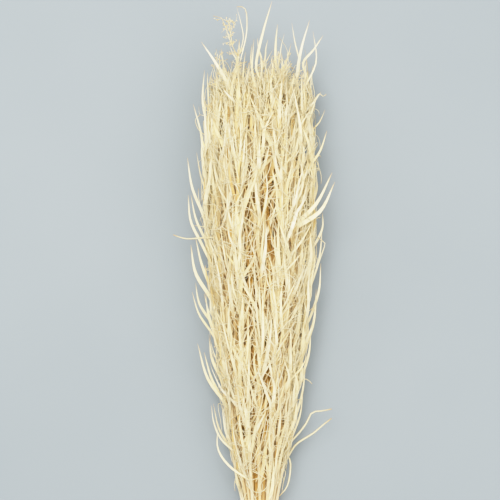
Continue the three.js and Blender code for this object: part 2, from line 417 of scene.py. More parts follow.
def twine_material():
    """Spun jute: fine dark and light fibres wind round each ply."""
    material, tree = new_material("spun_jute_twine")
    along, across = (
        add(tree, "ShaderNodeAttribute", {}, attribute_name=number).outputs["Fac"]
        for number in ("along", "across")
    )
    wind = add(tree, "ShaderNodeMath", {0: along, 1: FIBRE_WINDINGS * math.tau}, operation="MULTIPLY")
    turn = add(
        tree, "ShaderNodeMath", {0: across, 1: FIBRES_ACROSS_PLY * math.pi, 2: wind.outputs[0]},
        operation="MULTIPLY_ADD",
    )
    fibres = add(tree, "ShaderNodeMath", {0: turn.outputs[0]}, operation="SINE")
    place = add(tree, "ShaderNodeTexCoord", {}).outputs["Object"]
    fuzz = add(
        tree, "ShaderNodeTexNoise", {"Vector": place, "Scale": pattern_scale(FUZZ_SIZE), "Detail": 4.0}
    )
    level = add(
        tree, "ShaderNodeMath", {0: fibres.outputs[0], 1: 0.18, 2: fuzz.outputs["Fac"]},
        operation="MULTIPLY_ADD",
    )
    colour = add(
        tree, "ShaderNodeValToRGB", {"Fac": level.outputs[0]},
        stops=[(0.2, "#6B4A24"), (0.5, "#A47C48"), (0.8, "#C9A36B")],
    )
    bump = add(
        tree, "ShaderNodeBump",
        {"Height": level.outputs[0], "Strength": 0.7, "Distance": FIBRE_DEPTH * MM},
    )
    shader = add(
        tree, "ShaderNodeBsdfPrincipled",
        {"Base Color": colour.outputs["Color"], "Roughness": 0.92, "Normal": bump.outputs["Normal"]},
    )
    add(tree, "ShaderNodeOutputMaterial", {"Surface": shader.outputs["BSDF"]})
    return material


jute_twine = twine_material()
print("made", jute_twine.name)

# %% [markdown]
# ## Template strands
#
# Everything on the plant is a long thin strand: a culm, a rachis, a blade, a thread.
# A template is a rod of unit size: a cylinder whose long edges are subdivided into
# rows. A blade's template has four sides, so that squashing it gives the flat diamond
# section of a leaf, thick at the midrib and sharp at both edges. Its two edges are
# marked sharp, so light falls on each face as on a real flat leaf.
#
# grow() copies a template into a piece and bends it along a route. That is how a lattice
# or curve modifier works, done once in code, so thousands of strands stay cheap.

# %% Templates
def to_mesh(bm, name):
    """Writes a bmesh to a new mesh and frees it."""
    mesh = bpy.data.meshes.new(name)
    bm.to_mesh(mesh)
    bm.free()
    return mesh


def strand_template(name, sides, rows, sharp_edges=False):
    """A closed unit rod along Z with that many sides and rows."""
    bm = bmesh.new()
    bmesh.ops.create_cone(bm, cap_ends=True, segments=sides, radius1=1, radius2=1, depth=1)
    long_edges = [e for e in bm.edges if abs(e.verts[0].co.z - e.verts[1].co.z) > 0.5]
    bmesh.ops.subdivide_edges(bm, edges=long_edges, cuts=rows - 1, use_grid_fill=True)
    for face in bm.faces:
        face.smooth = True
    for edge in bm.edges:
        edge_on_side = all(abs(v.co.x) > 0.9 for v in edge.verts)
        edge.smooth = not (sharp_edges and edge_on_side)
    for v in bm.verts:
        v.co.z = round((v.co.z + 0.5) * rows)
    return to_mesh(bm, name)


BLADE_ROWS, THREAD_ROWS, SPIKELET_ROWS, RACHIS_ROWS = 12, 12, 3, 36
blade_template = strand_template("blade_template", 4, BLADE_ROWS, sharp_edges=True)
thread_template = strand_template("thread_template", 3, THREAD_ROWS)
spikelet_template = strand_template("spikelet_template", 4, SPIKELET_ROWS)
rachis_template = strand_template("rachis_template", 6, RACHIS_ROWS)
print("a blade has", len(blade_template.polygons), "faces, a thread", len(thread_template.polygons))

# %% [markdown]
# ## Growing, and how deep a strand lies
#
# The body of the bunch is the outline that most blades stay inside. It is about a sixth
# narrower than the bunch's full width, which counts the blades that stick out, and it
# swells and narrows in tufts, every 105 and 62 mm. depth_at() says how far inside that
# outline a point is; the materials use it for a deeper gold that is partly painted shade.
# It fades to nothing towards the crown, where the bunch is open.

# %% Growing a strand along a route
NUMBERS = ("along", "across", "tint", "depth")
CROWN_MIDDLE, OPEN_CROWN = 938, 240
BODY_SHARE, CROWN_SHARE = 0.83, 0.78
TUFT_STEPS, TUFT_DEPTH = (105, 62), 0.02


def new_piece():
    """An empty mesh that keeps the four numbers that the materials read."""
    bm = bmesh.new()
    for number in NUMBERS:
        bm.verts.layers.float.new(number)
    return bm


def copy_in(bm, template):
    """Adds a copy of template, and gives its vertices and where their numbers go."""
    first = len(bm.verts)
    bm.from_mesh(template)
    bm.verts.ensure_lookup_table()
    return bm.verts[first:], [bm.verts.layers.float[number] for number in NUMBERS]


def body_half_width(x, y):
    """Half the width of the leafy body at that place: it swells and narrows in tufts."""
    side = 1.7 if x > 0 else 0.0
    swell = sum(math.sin(math.tau * y / step + side * i) for i, step in enumerate(TUFT_STEPS, 1))
    crown = clamp((y - WIDEST_AT) / (TOP_AT - WIDEST_AT))
    share = mix(BODY_SHARE, CROWN_SHARE, crown)
    return pitch_across(y) * max(LAYERS) / 2 * (share + TUFT_DEPTH * swell)


def depth_at(point):
    """How far inside the bunch a point is: 0 on its outside, 1 on its middle line."""
    half_height = pitch_up(point.y) * HEIGHT_IN_LAYERS / 2
    up = (point.z - half_height) / half_height
    inside = clamp(1 - math.hypot(point.x / body_half_width(point.x, point.y), up))
    # Deeper points get more of the gold and painted shade, less so towards the open crown.
    return inside * clamp((CROWN_MIDDLE - point.y) / OPEN_CROWN)


def grow(bm, template, route, width, thickness, facing=FACE_UP, twist=0.0, fold=0.0, tint=0.5):
    """Bends a copy of template along route, a list of points in millimetres with one for
    each row. width and thickness give the full size at each share of the length, facing
    is the way that the upper side looks, twist turns it along the length, and fold is
    how deep the midrib lies, as a share of half the width."""
    rows = len(route) - 1
    added, layers = copy_in(bm, template)
    sections = []
    for row, centre in enumerate(route):
        share = row / rows
        heading = (route[min(row + 1, rows)] - route[max(row - 1, 0)]).normalized()
        side = heading.cross(facing)
        side = side.normalized() if side.length > 1e-3 else heading.orthogonal().normalized()
        up = side.cross(heading)
        turn = twist * (share - 0.3)
        side, up = (
            side * math.cos(turn) + up * math.sin(turn),
            up * math.cos(turn) - side * math.sin(turn),
        )
        half, thick = width(share) / 2, thickness(share) / 2
        sections.append((share, centre, side, up, half, thick, depth_at(centre)))
    for vert in added:
        x, y = vert.co.x, vert.co.y
        share, centre, side, up, half, thick, depth = sections[round(vert.co.z)]
        lift = y * thick - fold * half * (1 - abs(x))
        point = centre + side * (x * half) + up * lift
        vert.co = spot(point.x, point.y, max(point.z, LOWEST))
        for layer, value in zip(layers, (share, x, tint, depth)):
            vert[layer] = value


def finish_piece(bm, name, materials, replaced=()):
    """Turns a bmesh into a piece that rides on the root body."""
    bmesh.ops.recalc_face_normals(bm, faces=bm.faces)
    mesh = to_mesh(bm, name)
    for material in materials:
        mesh.materials.append(material)
    piece = bpy.data.objects.new(name, mesh)
    bpy.context.scene.collection.objects.link(piece)
    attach(piece, "root")
    if replaced:
        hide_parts(*replaced)


print("the body is", round(2 * body_half_width(0, WIDEST_AT)), "mm wide at its widest")

# %% [markdown]
# ## Culms
#
# A culm is a straw tube, about 5.6 mm thick at the cut end. Every 9 to 14 cm it has a
# node, a low ring where a leaf grew. It is one strand with extra rows round each node.
# At the cut end the skin stands a little proud of the pith, which an inset and a push
# inwards make. A leaf sheath, which is a thin skin rolled round the culm, starts at each
# node above the tie and ends in a slanting tongue. It is a flat grid given a little
# thickness and rolled up, and that is also how a real sheath is made.

# %% Culms with nodes, cut ends and sheaths
NODE_SPACING, NODE_SPREAD, NODE_SWELL = 115, 45, 0.09
NODE_ROWS = (-4, -2, -0.8, 0, 0.8, 2.4, 5)
CULM_SIDES, CULM_STEP = 12, 14
SKIN, PITH_DEPTH = 0.55, 0.7
SHEATH_GAP, SHEATH_SKIN, SHEATH_LENGTH, SHEATH_SPREAD = 0.3, 0.28, 105, 60
SHEATH_COLUMNS, SHEATH_ROWS = 10, 14
ABOVE_TIE = 22
CULM_SEED = 1000


def culm_radius(stalk, place):
    share = clamp((place - stalk.cut) / (stalk.plume_start - stalk.cut))
    return mix(CULM_DIAMETER, CULM_TIP_DIAMETER, share) / 2


def node_places(stalk, rng):
    """Where the nodes of a culm are, from its cut end up."""
    place = stalk.cut + rng.uniform(18, NODE_SPACING)
    nodes = []
    while place < stalk.plume_start - 12:
        nodes.append(place)
        place += NODE_SPACING + rng.uniform(-0.5, 0.5) * NODE_SPREAD
    return nodes


def culm_rows(stalk, nodes):
    """The places of a culm's rows: even steps, and closer ones round each node."""
    steps = math.ceil((stalk.plume_start - stalk.cut) / CULM_STEP)
    rows = {stalk.cut + (stalk.plume_start - stalk.cut) * i / steps for i in range(steps + 1)}
    for node in nodes:
        rows = {row for row in rows if abs(row - node) > 7 or row in (stalk.cut, stalk.plume_start)}
        rows |= {node + step for step in NODE_ROWS}
    return sorted(row for row in rows if stalk.cut <= row <= stalk.plume_start)


def node_swell(place, nodes):
    """How much thicker than straight a culm is: a low ring with a waist just above it."""
    swell = 0.0
    for node in nodes:
        swell += NODE_SWELL * math.exp(-(((place - node) / 1.1) ** 2))
        swell -= 0.4 * NODE_SWELL * math.exp(-(((place - node - 3.5) / 1.8) ** 2))
    return 1 + swell


def add_culm(bm, stalk, nodes, tint):
    rows = culm_rows(stalk, nodes)
    template = strand_template("culm_template", CULM_SIDES, len(rows) - 1)
    sizes = [2 * culm_radius(stalk, row) * node_swell(row, nodes) for row in rows]

    def size(share):
        return sizes[round(share * (len(rows) - 1))]

    grow(bm, template, [stalk.at(row) for row in rows], size, size, tint=tint)
    bpy.data.meshes.remove(template)
    ends = [face for face in bm.faces if len(face.verts) == CULM_SIDES]
    cut_end = min(ends, key=lambda face: face.calc_center_median().y)
    bmesh.ops.inset_individual(bm, faces=[cut_end], thickness=SKIN * MM)
    bmesh.ops.translate(bm, verts=cut_end.verts, vec=ALONG * PITH_DEPTH * MM)
    cut_end.material_index = 1
    cut_end.smooth = False


def sheath_template():
    """A thin flat grid: x across from -1 to 1, y along from 0 to 1, z its two skins."""
    bm = bmesh.new()
    bmesh.ops.create_grid(bm, x_segments=SHEATH_COLUMNS, y_segments=SHEATH_ROWS, size=1)
    bmesh.ops.solidify(bm, geom=bm.faces[:], thickness=1)
    low = min(v.co.z for v in bm.verts)
    for v in bm.verts:
        v.co.y = (v.co.y + 1) / 2
        v.co.z = 1.0 if v.co.z - low > 0.5 else 0.0
    for face in bm.faces:
        face.smooth = True
    return to_mesh(bm, "sheath_template")


rolled_skin = sheath_template()


def add_sheath(bm, stalk, start, length, opening, tint):
    """Rolls a thin skin round the culm from a node up, open on the side at angle opening."""
    added, layers = copy_in(bm, rolled_skin)
    for vert in added:
        x, share, skin = vert.co
        place = start + share * length
        centre = stalk.at(place)
        wrap = math.radians(mix(172, 150, share)) * (1 - clamp((share - 0.72) / 0.28) ** 1.5 * 0.93)
        radius = culm_radius(stalk, place) + SHEATH_GAP + skin * SHEATH_SKIN + 0.5 * share**3
        angle = opening + math.pi + x * wrap
        point = centre + Vector((math.cos(angle), 0, math.sin(angle))) * radius
        vert.co = spot(point.x, point.y, max(point.z, LOWEST))
        for layer, value in zip(layers, (share * 0.8, x, tint, depth_at(centre))):
            vert[layer] = value


for stalk in stalks:
    rng = random.Random(CULM_SEED + stalk.index)
    bm = new_piece()
    nodes = node_places(stalk, rng)
    add_culm(bm, stalk, nodes, rng.uniform(0.35, 0.75))
    for node in nodes:
        if node > NECK_AT + ABOVE_TIE:
            length = SHEATH_LENGTH + rng.uniform(-0.5, 0.5) * SHEATH_SPREAD
            add_sheath(bm, stalk, node, length, rng.uniform(0, math.tau), rng.uniform(0.6, 1.0))
    finish_piece(
        bm, f"culm_{stalk.number}", [straw_culm, cut_pith], [f"stem_{stalk.number}"]
    )
print("culms done:", len(stalks))

# %% [markdown]
# ## Blades
#
# A blade leaves the rachis at a narrow angle, all round it, each a golden angle on from
# the last, as leaves on a grass stalk do. It starts narrow, is 3 to 6 mm wide, and ends
# in a long point. Dry blades bow, twist and sometimes kink. A route is walked step by
# step: the heading turns from its first direction to its last, with a little wobble, and
# a kink turns the rest of the route at once. The blade's flat side looks away from the
# rachis.
#
# A strand that strays past the outline of the bunch is eased back. Each has a slack of
# its own, so the outline is ragged and no hard edge. crown_at() lets the stalks end in an
# uneven dome, and crowd() gives the ones inside, which lost most of theirs, fewer strands.
# Nothing keeps one strand out of another: they cut through each other where they cross.

# %% Routes for blades and threads
FLOOR_CLEARANCE = 0.6
BLADE_SLACK, MOST_SLACK, THREAD_SLACK = 12, 28, 6
TOP_FUZZ, FLOOR_TUCK = 4, 0.26
CROWN_SIDE_DROP, CROWN_LOW_DROP, CROWN_UNEVEN = 45, 75, 52
WOBBLE = 0.14


def outwards(stalk):
    """The way out of the bunch from a stalk, as long as 1 for a stalk on its outside."""
    half = len(LAYERS) / 2
    return Vector((stalk.column / (max(LAYERS) / 2), 0, (stalk.layer - middle_layer) / half))


def crowd(stalk, inside, outside):
    """How closely strands stand on a stalk: the ones inside the bunch lost most of theirs,
    and so did the ones that it lies on."""
    out = outwards(stalk)
    out.z = out.z if out.z > 0 else out.z / 2
    return mix(inside, outside, clamp(out.length) ** 1.3)


def crown_at(stalk):
    """How far along the bunch the blades of a stalk reach: together they make a dome, and
    no two stalks end level."""
    out = outwards(stalk)
    dome = CROWN_MIDDLE - CROWN_SIDE_DROP * out.x**2 - CROWN_LOW_DROP * max(0, -out.z) ** 1.5
    own = (stalk.index * GOLDEN_ANGLE / math.tau) % 1 - 0.5
    return dome + CROWN_UNEVEN * own


def soft_limit(value, limit, slack):
    """The value, but eased off beyond the limit, and never more than slack beyond it."""
    over = value - limit
    return value if over <= 0 else limit + slack * (1 - math.exp(-over / slack))


def body_half_height(y):
    """Half the height of the leafy body at that place."""
    return (pitch_up(y) * HEIGHT_IN_LAYERS + TOP_FUZZ) / 2


def reach_out(point):
    """How far out a point is, where 1 is the outline of the bunch. The outline is round
    above, and straight down below, where the bunch lies on the table."""
    half_height = body_half_height(point.y)
    above = max(0, point.z - half_height)
    return math.hypot(point.x / body_half_width(point.x, point.y), above / half_height)


def keep_in_bunch(point, slack):
    """Brings a point that strays off the bunch back to within slack of its outline."""
    x, y, z = point
    if slack:
        out = reach_out(point)
        half_height = body_half_height(y)
        share = soft_limit(out, 1, slack / body_half_width(x, y)) / out if out > 1 else 1.0
        x *= share * (1 - FLOOR_TUCK * clamp(1 - z / half_height) ** 2)
        z = half_height + (z - half_height) * share if z > half_height else z
    return Vector((x, y, max(z, FLOOR_CLEARANCE)))


def walk(rng, root, first, last, length, rows, kink, slack):
    """A route from root whose heading turns from first to last, with wobble and a kink."""
    first, last = first.normalized(), last.normalized()
    # Six are drawn and four used: drawing fewer would change every blade after this one.
    sway = [rng.uniform(-1, 1) for _ in range(6)]
    kink_at = rng.uniform(0.55, 0.9)
    kink_way = Vector((rng.uniform(-1, 1), rng.uniform(-0.6, 0.6), rng.uniform(-1, 1)))
    point = root.copy()
    route = [keep_in_bunch(point, slack)]
    for row in range(rows):
        share = (row + 0.5) / rows
        heading = mix(first, last, share)
        heading = heading + WOBBLE * Vector(
            (
                sway[0] * math.sin(7 * share + 6 * sway[1]),
                0,
                sway[2] * math.sin(7 * share + 6 * sway[3]),
            )
        )
        if share > kink_at:
            heading = heading + kink * kink_way
        point = point + heading.normalized() * (length / rows)
        route.append(keep_in_bunch(point, slack))
    return route


def any_way(rng, along=1.0):
    """A random heading, with the part along the bunch scaled by along."""
    turn, rise = rng.uniform(0, math.tau), rng.uniform(-1, 1)
    flat = math.sqrt(1 - rise * rise)
    return Vector((flat * math.cos(turn), rise * along, flat * math.sin(turn)))


def blade_width(full):
    """The width of a blade with that full width: narrow at the root, long pointed tip."""
    def width(share):
        root = 0.45 + 0.55 * clamp(share / 0.22) ** 0.7
        tip = clamp((1 - share) / 0.52) ** 0.8
        return max(0.25, full * root * tip)

    return width


def blade_thickness(full):
    def thickness(share):
        return mix(full, 0.3, share)

    return thickness


reaches = [crown_at(stalk) for stalk in stalks]
print("stalks reach from", round(min(reaches)), "to", round(max(reaches)), "mm from the cut ends")

# %% [markdown]
# The blades of one plume share out the length of its rachis. Stalks on the outside of
# the bunch have more room, so their blades lean further out on that side.

# %% Plumes
BLADE_STEP, LOW_BLADE_STEP, TUFT_STEP, LOW_BLADES_FROM = 5.8, 9.5, 2.7, 235
BLADES_INSIDE, BLADES_OUTSIDE = 0.5, 2.1
CROWN_TUFT = 90
RACHIS_DIAMETER, RACHIS_TIP_DIAMETER = 3.6, 1.2
BLADE_LENGTH, BLADE_WIDTH, BLADE_THICKNESS = (55, 130), (2.7, 6.0), 0.6
LEAN = (4, 42)
CROWN_RAGGED, CROWN_SPIKE = (-62, 42), 18
RACHIS_END, RACHIS_SHORT_OF_TIP, RACHIS_EVENNESS = 852, 95, 0.65
KINKED_SHARE, TAN_SHARE, TAN_TINT, LEAF_TINT = 0.2, 0.06, 0.2, 0.72
SHORTEST_BLADE, TURN_BACKS = 25, 6


def rachis_tip(stalk):
    return mix(stalk.tip - RACHIS_SHORT_OF_TIP, RACHIS_END, RACHIS_EVENNESS)


def add_rachis(bm, stalk, tint):
    start, end = stalk.plume_start, rachis_tip(stalk)
    route = [stalk.at(mix(start, end, row / RACHIS_ROWS)) for row in range(RACHIS_ROWS + 1)]

    def size(share):
        return mix(RACHIS_DIAMETER, RACHIS_TIP_DIAMETER, share)

    grow(bm, rachis_template, route, size, size, tint=tint)


def blade_places(stalk, rng):
    """Where the blades of a stalk leave it, from the bare part of the culm up."""
    place = LOW_BLADES_FROM + rng.uniform(0, LOW_BLADE_STEP)
    found = []
    while place < rachis_tip(stalk):
        found.append(place)
        if place < stalk.plume_start:
            step = LOW_BLADE_STEP
        elif place < rachis_tip(stalk) - CROWN_TUFT:
            step = BLADE_STEP / crowd(stalk, BLADES_INSIDE, BLADES_OUTSIDE)
        else:
            step = TUFT_STEP
        place += step * rng.uniform(0.5, 1.5)
    return found


def add_blades(bm, stalk, rng):
    out = outwards(stalk)
    for i, place in enumerate(blade_places(stalk, rng)):
        turn = GOLDEN_ANGLE * i + stalk.index
        radial = Vector((math.cos(turn), 0, math.sin(turn)))
        root = stalk.at(place)
        room = crown_at(stalk) + min(CROWN_SPIKE, rng.gauss(*CROWN_RAGGED)) - place
        length = min(rng.uniform(*BLADE_LENGTH), max(room, SHORTEST_BLADE))
        slack = min(MOST_SLACK, 2 + rng.expovariate(1 / BLADE_SLACK))
        slack *= mix(0.35, 1.0, clamp((place - LOW_BLADES_FROM) / 200))
        lean = math.radians(rng.uniform(*LEAN) * rng.choice((0.35, 0.7, 1.0, 1.2)))
        bow = rng.choice((-0.3, 0.2, 0.5, 1.0, 1.5))
        away = radial + out * rng.uniform(0.0, 0.9)
        most = max(1, reach_out(root)) + slack / body_half_width(root.x, place)
        for _ in range(TURN_BACKS):
            tip = root + (ALONG + away * math.tan(lean) * (1 + bow) / 2) * length
            if reach_out(tip) > most:
                away -= 0.4 * out * max(0, away.dot(out)) / out.length_squared
        first = ALONG * math.cos(lean) + away * math.sin(lean)
        last = ALONG * math.cos(lean) + away * bow * math.sin(lean)
        kink = rng.uniform(0.2, 0.7) if rng.random() < KINKED_SHARE else 0.0
        route = walk(rng, root, first, last, length, BLADE_ROWS, kink, slack)
        full = mix(*BLADE_WIDTH, rng.random() ** 1.4)
        tan = rng.random() < TAN_SHARE
        grow(
            bm, blade_template, route, blade_width(full), blade_thickness(BLADE_THICKNESS),
            facing=radial * 0.6 + FACE_UP * 0.5 + any_way(rng) * 0.4, twist=rng.uniform(-1.4, 1.4),
            fold=rng.uniform(0.1, 0.5), tint=clamp(rng.gauss(TAN_TINT if tan else LEAF_TINT, 0.14)),
        )


ends = [rachis_tip(stalk) for stalk in stalks]
print("rachises end from", round(min(ends)), "to", round(max(ends)), "mm from the cut ends")

# %% [markdown]
# ## Threads and panicles
#
# Between the blades run wiry threads, the dry stalks of stripped spikelets. They leave
# the rachis at any angle, and curl, loop and cross the blades. Real ones are too fine to
# show, so they are drawn 0.9 to 1.5 mm thick. The tip of each stalk is a small panicle: a
# thread that branches left and right and carries tiny spikelets, 4.5 mm long.

# %% Threads and panicles
THREAD_STEP, LOW_THREADS_FROM = 9.0, 265
THREADS_INSIDE, THREADS_OUTSIDE = 0.4, 2.4
THREAD_LENGTH, THREAD_THICKNESS = (25, 110), (0.9, 1.5)
THREAD_TURNS = (0.4, 1.2, 2.0, 3.0, 5.0)
TIP_THREADS, THREAD_ENDS = 90, (-45, 28)
PANICLE_LENGTH, BRANCH_STEP, BRANCH_LENGTH = (45, 80), 7.5, 26
PANICLE_STEM, TWIG = 1.0, 0.7


def even(size):
    """The same size all along a strand, but for a fine tip."""
    def value(share):
        return size * (1 - 0.5 * share**3)

    return value


def curl(rng, root, heading, length, turn, slack):
    """A route whose heading turns through that many radians in all, with odd kinks."""
    heading = heading.normalized()
    axis = (FACE_UP * rng.choice((-1, 1)) + 0.9 * any_way(rng)).normalized()
    point = root.copy()
    route = [keep_in_bunch(point, slack)]
    for _ in range(THREAD_ROWS):
        heading.rotate(Quaternion(axis, turn / THREAD_ROWS * rng.uniform(0.6, 1.4)))
        if rng.random() < 0.07:
            heading.rotate(Quaternion(any_way(rng), rng.uniform(-1.3, 1.3)))
        point = point + heading * (length / THREAD_ROWS)
        route.append(keep_in_bunch(point, slack))
    return route


def add_thread(bm, rng, root, heading, length, thickness, turn, slack=THREAD_SLACK):
    route = curl(rng, root, heading, length, turn, slack)
    grow(bm, thread_template, route, even(thickness), even(thickness), tint=clamp(rng.gauss(0.92, 0.08)))
    return route


def add_threads(bm, stalk, rng):
    place, end = LOW_THREADS_FROM, rachis_tip(stalk)
    while place < end + TIP_THREADS:
        root = stalk.at(min(place, end + (place - end) / 3))
        height = clamp((place - LOW_THREADS_FROM) / (end - LOW_THREADS_FROM))
        turn = rng.choice(THREAD_TURNS) * rng.uniform(0.6, 1.3)
        length = rng.uniform(*THREAD_LENGTH) * (0.7 if turn > 3 else 1.0)
        length = min(length, crown_at(stalk) + rng.uniform(*THREAD_ENDS) - root.y)
        heading = any_way(rng) + ALONG * rng.uniform(-0.1, 1.5) + outwards(stalk) * 1.3
        slack = min(MOST_SLACK, 2 + rng.expovariate(1 / THREAD_SLACK)) * mix(0.4, 1.0, height)
        add_thread(bm, rng, root, heading, length, rng.uniform(*THREAD_THICKNESS), turn, slack)
        share = crowd(stalk, THREADS_INSIDE, THREADS_OUTSIDE) * mix(0.8, 1.6, height)
        place += THREAD_STEP * rng.uniform(0.4, 1.6) / share


def add_spikelet(bm, rng, root, heading, length=4.5, width=1.3):
    way = heading.normalized()
    route = [root + way * (length * row / SPIKELET_ROWS) for row in range(SPIKELET_ROWS + 1)]

    def size(share):
        return max(0.3, width * math.sin(math.pi * mix(0.15, 0.9, share)))

    grow(bm, spikelet_template, route, size, size, tint=clamp(rng.gauss(0.5, 0.2)))


def add_panicle(bm, rng, root, heading, length):
    """A thread with branches left and right, which end in spikelets."""
    stem = add_thread(bm, rng, root, heading, length, PANICLE_STEM, rng.uniform(0, 1.2))
    branches = round(length / BRANCH_STEP)
    for i in range(branches):
        share = (i + rng.uniform(0.3, 1.0)) / branches
        row = min(THREAD_ROWS - 1, int(share * THREAD_ROWS))
        way = (stem[row + 1] - stem[row]).normalized() + 1.1 * any_way(rng, 0.4)
        reach = BRANCH_LENGTH * rng.uniform(0.5, 1.0) * mix(1.0, 0.5, share)
        twig = add_thread(bm, rng, stem[row], way, reach, TWIG, rng.uniform(0, 2.5))
        for end in (THREAD_ROWS, THREAD_ROWS * 2 // 3):
            add_spikelet(bm, rng, twig[end], way + 0.7 * any_way(rng))
    add_spikelet(bm, rng, stem[-1], stem[-1] - stem[-2])


def add_tip_panicle(bm, stalk, rng):
    root = stalk.at(rachis_tip(stalk))
    length = min(rng.uniform(*PANICLE_LENGTH), crown_at(stalk) + 10 - root.y)
    add_panicle(bm, rng, root, ALONG + outwards(stalk) * 0.25, length)


# %% [markdown]
# ## Blades that make the outline
#
# A bunch is known by the blades that stand clear of it, so these are placed one by one:
# long blades at the crown, fans of blades down each side, and a few wiry ones that stick
# out. The imported model doesn't have them, so it gives only the point that they are
# measured from, which is the tie's, and the stalks that carry them. Each row gives the
# full width, the root and the tip, across and along, and how far the middle bows to the
# left of the straight line between them, all in millimetres.

# %% Outline blades, left side, right side and crown
OUTLINE_BLADES = [
    # the crown, from left to right
    (1.3, -25, 938, -35, 983, -1), (1.6, -24, 925, -21, 975, -3), (4.2, -6, 895, 18, 991, 2),
    (3.6, 23, 905, 26, 956, 1), (1.8, 30, 912, 37, 947, 1), (2.0, 60, 905, 48, 963, 1),
    (4.8, 56, 880, 75, 967, 3), (4.0, 66, 905, 96, 946, -1), (2.6, 66, 862, 80, 950, -12),
    (5.6, -45, 862, -88, 932, -2), (5.2, -53, 850, -59, 926, -2), (3.0, -34, 905, -46, 931, 1),
    (3.2, 2, 905, -4, 935, 1), (2.8, 8, 912, 12, 938, 1),
    # down the left side
    (4.0, -78, 800, -84, 893, 6), (3.4, -70, 790, -72, 880, -4), (4.6, -86, 742, -101, 841, -5),
    (1.2, -80, 822, -93, 838, 6), (3.6, -76, 760, -92, 806, 2), (4.8, -86, 672, -110, 760, 5),
    (4.6, -88, 628, -109, 704, 7), (4.2, -82, 632, -105, 704, 4), (3.0, -80, 700, -96, 768, 2),
    (6.4, -76, 548, -105, 628, 8), (5.2, -74, 560, -98, 640, 3), (4.6, -76, 512, -98, 570, 6),
    (3.8, -74, 494, -103, 556, 5), (5.4, -48, 378, -95, 477, 9), (4.8, -56, 388, -85, 464, 4),
    (5.0, -60, 424, -77, 486, 5), (4.6, -40, 310, -71, 385, 7), (3.6, -46, 292, -64, 350, 9),
    (3.4, -58, 330, -74, 384, 4),
    # down the right side
    (5.0, 66, 826, 92, 858, -1), (4.4, 58, 782, 87, 855, -2), (2.2, 80, 800, 99, 833, -2),
    (4.6, 70, 740, 101, 800, -5), (6.8, 50, 652, 108, 736, -7), (7.6, 50, 650, 112, 722, -12),
    (4.2, 88, 636, 95, 676, -4), (3.6, 76, 560, 95, 655, -5), (4.4, 78, 520, 93, 600, -5),
    (4.8, 70, 470, 86, 560, -5), (4.2, 62, 420, 78, 505, -5), (3.8, 54, 360, 70, 455, -4),
    (3.2, 50, 335, 66, 405, -4),
]

# Wiry strays: thickness, then the points that they run through, across and along.
STRAYS = [
    (2.2, [(-24, 926), (-20, 948), (-20, 972), (-24, 982), (-34, 983)]),
    (2.8, [(-58, 634), (-71, 639), (-107, 637), (-120, 639), (-131, 643)]),
    (1.6, [(-70, 656), (-84, 655), (-98, 657)]),
    (2.4, [(80, 572), (91, 604), (99, 628), (96, 633), (88, 639)]),
    (3.4, [(48, 326), (62, 342), (72, 356), (80, 371), (96, 374), (110, 377)]),
    (3.6, [(42, 300), (54, 320), (69, 331), (82, 339), (96, 351), (110, 362)]),
    (3.2, [(42, 304), (47, 294), (46, 274), (41, 256), (30, 243)]),
    (1.8, [(68, 422), (75, 420), (80, 415)]),
    (2.0, [(84, 850), (91, 858), (96, 854), (101, 857)]),
    (1.6, [(-92, 802), (-98, 818), (-90, 826)]),
]


def through(points, rows):
    """A smooth route through points, one for each row."""
    lengths = [(b - a).length for a, b in zip(points, points[1:])]
    route = []
    for row in range(rows + 1):
        reach = sum(lengths) * row / rows
        i = 0
        while i < len(lengths) - 1 and reach > lengths[i]:
            reach -= lengths[i]
            i += 1
        t = clamp(reach / lengths[i])
        a, b = points[i], points[i + 1]
        before = points[i - 1] if i > 0 else a * 2 - b
        after = points[i + 2] if i + 2 < len(points) else b * 2 - a
        route.append(
            (
                a * 2 + (b - before) * t + (before * 2 - a * 5 + b * 4 - after) * t * t
                + (a * 3 - before - b * 3 + after) * t * t * t
            )
            / 2
        )
    return route


def nearest_stalk(x, place):
    """The stalk whose middle line passes closest to x there, among those near the top."""
    able = [stalk for stalk in stalks if stalk.layer >= 2 and stalk.plume_start - 60 < place]
    return min(able, key=lambda stalk: abs(stalk.at(place).x - x))


outline = {stalk.index: [] for stalk in stalks}
for width, root_x, root_y, tip_x, tip_y, bow in OUTLINE_BLADES:
    outline[nearest_stalk(root_x, root_y - 20).index].append((width, root_x, root_y, tip_x, tip_y, bow))
strays_of = {stalk.index: [] for stalk in stalks}
for thickness, points in STRAYS:
    strays_of[nearest_stalk(points[0][0], points[0][1] - 20).index].append((thickness, points))
print(len(OUTLINE_BLADES), "outline blades and", len(STRAYS), "strays")


def add_outline_blades(bm, stalk, rng):
    for width, root_x, root_y, tip_x, tip_y, bow in outline[stalk.index]:
        start = stalk.at(root_y - 24)
        low, high = start.z + rng.uniform(1, 5), start.z + rng.uniform(4, 14)
        lean = Vector((tip_x - root_x, tip_y - root_y, 0)).normalized()
        left = Vector((-lean.y, lean.x, 0))
        root, tip = Vector((root_x, root_y, low)), Vector((tip_x, tip_y, high))
        middle = mix(root, tip, 0.5) + left * bow
        route = through([start, root, middle, tip], BLADE_ROWS)
        grow(
            bm, blade_template, route, blade_width(width * 0.85), blade_thickness(BLADE_THICKNESS),
            facing=FACE_UP + 0.3 * any_way(rng), twist=rng.uniform(-0.5, 0.5),
            fold=rng.uniform(0.1, 0.35), tint=clamp(rng.gauss(0.72, 0.1)),
        )


def add_strays(bm, stalk, rng):
    for thickness, points in strays_of[stalk.index]:
        start = stalk.at(points[0][1] - 12)
        rise = rng.uniform(2, 12)
        spots = [start] + [
            Vector((x, y, start.z + rise * (i + 1) / len(points))) for i, (x, y) in enumerate(points)
        ]
        route = through(spots, THREAD_ROWS)
        grow(
            bm, thread_template, route, even(thickness), even(0.8), facing=FACE_UP,
            tint=clamp(rng.gauss(0.7, 0.1)),
        )


